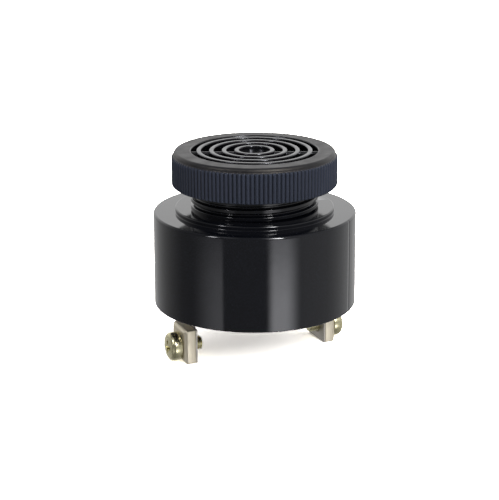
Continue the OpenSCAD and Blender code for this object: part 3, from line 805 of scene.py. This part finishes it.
def make_screw(name):
    """A pan head screw along Z, head up, with a cross recess and a rolled thread."""
    crown_h = HEAD_H - HEAD_SIDE_H
    dome_r = HEAD_R - HEAD_EDGE
    tip_top = SCREW_TIP - SCREW_LEN
    crown = [
        np.array((dome_r + HEAD_EDGE * math.cos(a), HEAD_SIDE_H + CROWN_SHARE * crown_h * math.sin(a)))
        for a in np.linspace(0, TURN / 4, CROWN_STEPS)
    ]
    crown += [np.array((dome_r * r, HEAD_H - (1 - CROWN_SHARE) * crown_h * r * r)) for r in DOME_ROWS]
    foot = [(SCREW_R, -HEAD_DIP)] + [(HEAD_R - inwards, z) for inwards, z in HEAD_FOOT]
    head = foot + crown + [(0.0, HEAD_H)]
    tip = run((SCREW_R - SCREW_TIP, -SCREW_LEN), (SCREW_R, tip_top), FINE_STEP)
    shank = run((SCREW_R, tip_top), (SCREW_R, -HEAD_RELIEF), SHANK_STEP)[1:]
    section = [(0.0, -SCREW_LEN)] + tip + shank + head
    threaded = [False] + [True] * (len(tip) + len(shank)) + [False] * len(head)
    screw = turned(name, section, spread(SCREW_COLUMNS), threaded=threaded)
    grow(screw, thread_tree, {
        "Crest radius": SCREW_R * MM, "Root radius": (SCREW_R - SCREW_CUT) * MM, "Pitch": SCREW_PITCH * MM,
        "Crest height": 0.0, "Crest share": SCREW_SHARE, "Root share": SCREW_SHARE, "Side": 1.0,
        "Material": yellow_zinc,
    })
    for turn in (0, TURN / 4):
        cutter = make_recess_blade(turn)
        cut = screw.modifiers.new("recess", "BOOLEAN")
        cut.object, cut.operation, cut.solver = cutter, "DIFFERENCE", "MANIFOLD"
        settle(screw)
        bpy.data.objects.remove(cutter)
    return screw


def make_recess_blade(turn):
    """One of the two tapered blades that cut the cross recess."""
    cos, sin = math.cos(turn), math.sin(turn)
    verts = []
    floor_z, over_z = HEAD_H - RECESS_DEPTH, HEAD_H + RECESS_OVER
    for z, (length, width) in ((floor_z, RECESS_FLOOR), (over_z, RECESS_MOUTH)):
        for x, y in ((length, -width), (length, width), (-length, width), (-length, -width)):
            verts.append((x * cos - y * sin, x * sin + y * cos, z))
    sides = [(i, (i + 1) % 4, (i + 1) % 4 + 4, i + 4) for i in range(4)]
    return piece("recess_blade", verts, [(3, 2, 1, 0), (4, 5, 6, 7)] + sides)


def dress(obj, node, body, material, sharp_angle=SHARP_ANGLE):
    """Finishes a piece that stands for a CAD node: shading, material and body, and hides the CAD part it
    replaces.
    """
    obj.data.materials.clear()
    obj.data.materials.append(material)
    smooth(obj, sharp_angle)
    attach(obj, body)
    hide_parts(node)


dress(make_housing(), "housing", "sounder", polished_abs)
dress(make_bezel(), "bezel", "bezel", grained_abs)

for side, heading in (("positive", 0), ("negative", math.pi)):
    facing = Matrix.Rotation(heading, 4, "Z")
    strip = make_plate(
        f"tinned_strip_{side}", strip_outline(), SCREW_R + STRIP_CLEAR, STRIP_X, STRIP_T, STRIP_EDGE
    )
    dress(place(strip, facing), f"terminal_strip_{side}", "sounder", tinned_brass)
    plate = make_plate(
        f"nickel_plate_{side}", pad_outline(), SCREW_R + TAP_CLEAR, PLATE_X, PLATE_T, PLATE_EDGE, PLATE_BEVEL
    )
    dress(place(plate, facing), f"tapped_plate_{side}", "sounder", nickel_plate)
    screw = make_screw(f"pan_screw_{side}")
    seat = Matrix.Translation(Vector((HEAD_X, 0, SCREW_Z)) * MM) @ Matrix.Rotation(math.pi / 2, 4, "Y")
    placed = place(screw, facing @ seat)
    dress(placed, f"terminal_screw_{side}", "sounder", yellow_zinc, SCREW_SHARP_ANGLE)

INNER_FINISHES = {
    "diaphragm": rolled_brass, "piezo_ceramic": silvered_ceramic, "diaphragm_adhesive": white_silicone,
    "circuit_board": solder_mask, "drive_transistor": moulded_case, "base_resistor": resistor_lacquer,
    "feedback_resistor": resistor_lacquer, "supply_resistor": resistor_lacquer,
    "supply_capacitor": capacitor_sleeve, "polarity_diode": moulded_case, "drive_lead": red_pvc,
    "feedback_lead": blue_pvc, "common_lead": black_pvc, "bender_solder": solder_tin,
    "terminal_solder": solder_tin, "potting": black_epoxy,
}
for node, material in INNER_FINISHES.items():
    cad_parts[node].data.materials.clear()
    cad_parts[node].data.materials.append(material)


# Stage

def toward(azimuth, elevation, distance):
    """A point seen from the axis in that direction. Azimuth runs from the camera, positive to its right."""
    a, e = math.radians(CAMERA_AZIMUTH + azimuth), math.radians(elevation)
    return Vector((math.sin(a) * math.cos(e), -math.cos(a) * math.cos(e), math.sin(e))) * distance


def make_floor():
    """A wide white sweep. The camera sees it overexposed, so that only the object's near shadow is left."""
    corners = [(x * FLOOR_HALF, y * FLOOR_HALF, 0) for x, y in ((-1, -1), (1, -1), (1, 1), (-1, 1))]
    floor = piece("floor", corners, [(0, 1, 2, 3)])
    material = bpy.data.materials.new("white_paper")
    material.use_nodes = True
    tree = material.node_tree
    tree.nodes.clear()
    seen = add_node(tree, "ShaderNodeLightPath").outputs["Is Camera Ray"]
    level = add_node(tree, "ShaderNodeMapRange", {
        "Value": seen, "To Min": FLOOR_ALBEDO, "To Max": FLOOR_EXPOSED,
    })
    cream = add_node(tree, "ShaderNodeVectorMath", {
        0: linear(PAPER_WHITE)[:3], "Scale": level,
    }, operation="SCALE")
    paper = add_node(tree, "ShaderNodeBsdfDiffuse", {"Color": cream})
    add_node(tree, "ShaderNodeOutputMaterial", {"Surface": paper})
    floor.data.materials.append(material)
    floor.visible_glossy = False


def make_world():
    """White for the camera, and soft light on the object, mostly from the front right.

    Reflections see a lit backdrop above a dimmer floor, and a dim room that is brighter on the right.
    """
    world = bpy.data.worlds.new("studio")
    bpy.context.scene.world = world
    world.use_nodes = True
    tree = world.node_tree
    tree.nodes.clear()
    rays = add_node(tree, "ShaderNodeLightPath").outputs
    direction = add_node(tree, "ShaderNodeTexCoord").outputs["Generated"]
    up = add_node(tree, "ShaderNodeSeparateXYZ", {0: direction}).outputs["Z"]
    behind, right, bright = [
        add_node(tree, "ShaderNodeVectorMath", {
            0: direction, 1: toward(*heading, 1),
        }, operation="DOT_PRODUCT").outputs["Value"]
        for heading in (BACKDROP_FROM, SIDE_FROM, SOFT_FROM)
    ]
    facing = add_node(tree, "ShaderNodeMapRange", {
        "Value": behind, "From Min": BACKDROP_SPREAD[0], "From Max": BACKDROP_SPREAD[1],
    })
    rise = add_node(tree, "ShaderNodeMapRange", {
        "Value": up, "From Min": HORIZON[0], "From Max": HORIZON[1],
        "To Min": FLOOR_GLOW, "To Max": BACKDROP_GLOW,
    }, interpolation_type="SMOOTHSTEP")
    fade = add_node(tree, "ShaderNodeMapRange", {
        "Value": up, "From Min": BACKDROP_TOP[0], "From Max": BACKDROP_TOP[1], "To Min": 1.0, "To Max": 0.0,
    }, interpolation_type="SMOOTHSTEP")
    window = add_node(tree, "ShaderNodeMapRange", {
        "Value": right, "From Min": SIDE_SPREAD[0], "From Max": SIDE_SPREAD[1], "To Max": SIDE_GLOW,
    })
    backdrop = add_node(tree, "ShaderNodeMath", {0: rise, 1: fade}, operation="MULTIPLY")
    room = add_node(tree, "ShaderNodeMath", {0: window, 1: ROOM_GLOW}, operation="ADD")
    studio = add_node(tree, "ShaderNodeMath", {0: facing, 1: backdrop, 2: room}, operation="MULTIPLY_ADD")
    shiny = add_node(tree, "ShaderNodeMath", {
        0: rays["Is Glossy Ray"], 1: rays["Is Transmission Ray"],
    }, operation="MAXIMUM")
    soft = add_node(tree, "ShaderNodeMapRange", {
        "Value": bright, "From Min": SOFT_SPREAD[0], "From Max": SOFT_SPREAD[1],
        "To Min": SOFT_SHADE, "To Max": SOFT_LIGHT,
    })
    seen = add_node(tree, "ShaderNodeMix", {0: shiny, 2: soft, 3: studio}, data_type="FLOAT")
    level = add_node(tree, "ShaderNodeMix", {0: rays["Is Camera Ray"], 2: seen, 3: 1.0}, data_type="FLOAT")
    light = add_node(tree, "ShaderNodeBackground", {"Color": linear("#ffffff"), "Strength": level})
    add_node(tree, "ShaderNodeOutputWorld", {"Surface": light})


def make_softbox(name, azimuth, elevation, distance, width, height, radiance, mirrored=True):
    """A soft lamp of that radiance, aimed at the middle of the object and unseen by the camera.

    Reflections see it if it is mirrored.
    """
    data = bpy.data.lights.new(name, "AREA")
    data.shape, data.size, data.size_y = "RECTANGLE", width * MM, height * MM
    data.energy = radiance * math.pi * width * height * MM * MM
    lamp = bpy.data.objects.new(name, data)
    bpy.context.scene.collection.objects.link(lamp)
    centre = Vector((0, 0, AIM_Z))
    lamp.location = (centre + toward(azimuth, elevation, distance)) * MM
    lamp.rotation_euler = toward(azimuth, elevation, 1).to_track_quat("Z", "Y").to_euler()
    lamp.visible_camera = False
    lamp.visible_glossy = mirrored


def make_card(name, span, soft, radiance, heights):
    """A glowing band on a wide arc that only reflections see: a lit table, a lamp above it, or a high window.

    span is in degrees from the camera, and soft the share that fades at each end. The band dims upwards.
    """
    shares = [k / CARD_STEPS for k in range(CARD_STEPS + 1)]
    spots = [toward(span[0] + (span[1] - span[0]) * share, 0, CARD_DISTANCE) for share in shares]
    verts = [(p.x, p.y, z) for p in spots for z in heights]
    card = piece(name, verts, [(2 * k, 2 * k + 2, 2 * k + 3, 2 * k + 1) for k in range(CARD_STEPS)])
    layer = card.data.uv_layers.new(name="across")
    for loop, spot in zip(card.data.loops, layer.data):
        spot.uv = (shares[loop.vertex_index // 2], loop.vertex_index % 2)
    material = bpy.data.materials.new(name)
    material.use_nodes = True
    tree = material.node_tree
    tree.nodes.clear()
    across = add_node(tree, "ShaderNodeTexCoord").outputs["UV"]
    at = add_node(tree, "ShaderNodeSeparateXYZ", {0: across}).outputs
    start = add_node(tree, "ShaderNodeMapRange", {
        "Value": at["X"], "From Min": 0.0, "From Max": soft[0],
    }, interpolation_type="SMOOTHSTEP")
    stop = add_node(tree, "ShaderNodeMapRange", {
        "Value": at["X"], "From Min": 1.0, "From Max": 1.0 - soft[1],
    }, interpolation_type="SMOOTHSTEP")
    low = add_node(tree, "ShaderNodeMapRange", {
        "Value": at["Y"], "From Min": CARD_FADE[0], "From Max": CARD_FADE[1],
        "To Min": CARD_TOP, "To Max": 1.0,
    })
    glow = add_node(tree, "ShaderNodeMath", {0: start, 1: stop}, operation="MULTIPLY")
    strength = add_node(tree, "ShaderNodeMath", {0: low, 1: radiance}, operation="MULTIPLY")
    lit = add_node(tree, "ShaderNodeEmission", {"Color": linear(CARD_WHITE), "Strength": strength})
    clear = add_node(tree, "ShaderNodeBsdfTransparent")
    mixed = add_node(tree, "ShaderNodeMixShader", {0: glow, 1: clear, 2: lit})
    add_node(tree, "ShaderNodeOutputMaterial", {"Surface": mixed})
    card.data.materials.append(material)
    card.visible_camera = card.visible_diffuse = card.visible_shadow = False


def make_camera():
    """The photograph's view."""
    data = bpy.data.cameras.new("camera")
    data.sensor_fit, data.sensor_width, data.lens, data.shift_x = "HORIZONTAL", SENSOR, LENS, SHIFT_X
    camera = bpy.data.objects.new("camera", data)
    bpy.context.scene.collection.objects.link(camera)
    back = toward(0, CAMERA_ELEVATION, 1)
    camera.location = (Vector((0, 0, AIM_Z)) + back * CAMERA_DISTANCE) * MM
    level = back.to_track_quat("Z", "Y").to_matrix().to_4x4()
    camera.rotation_euler = (level @ Matrix.Rotation(math.radians(CAMERA_ROLL), 4, "Z")).to_euler()
    bpy.context.scene.camera = camera


make_floor()
make_world()
make_softbox("key_right", azimuth=30, elevation=40, distance=800, width=90, height=500, radiance=24)
make_softbox(
    "overhead", azimuth=80, elevation=62, distance=700, width=600, height=500, radiance=1.0, mirrored=False
)
make_card("right_table", span=(12, 54), soft=(0.26, 0.5), radiance=4.1, heights=TABLE_CARD)
make_card("left_table", span=(-76, -34), soft=(0.9, 0.08), radiance=1.2, heights=TABLE_CARD)
make_card("right_window", span=(6, 70), soft=(0.3, 0.4), radiance=1.4, heights=WINDOW_CARD)
make_card("left_window", span=(-74, -26), soft=(0.4, 0.3), radiance=0.9, heights=WINDOW_CARD)
make_card("right_lamp", span=(12, 34), soft=(0.7, 0.1), radiance=16, heights=LAMP_CARD)
make_card("left_lamp", span=(-58, -47), soft=(0.3, 0.3), radiance=24, heights=LAMP_CARD)
make_camera()
bpy.context.scene.view_settings.view_transform = "Standard"
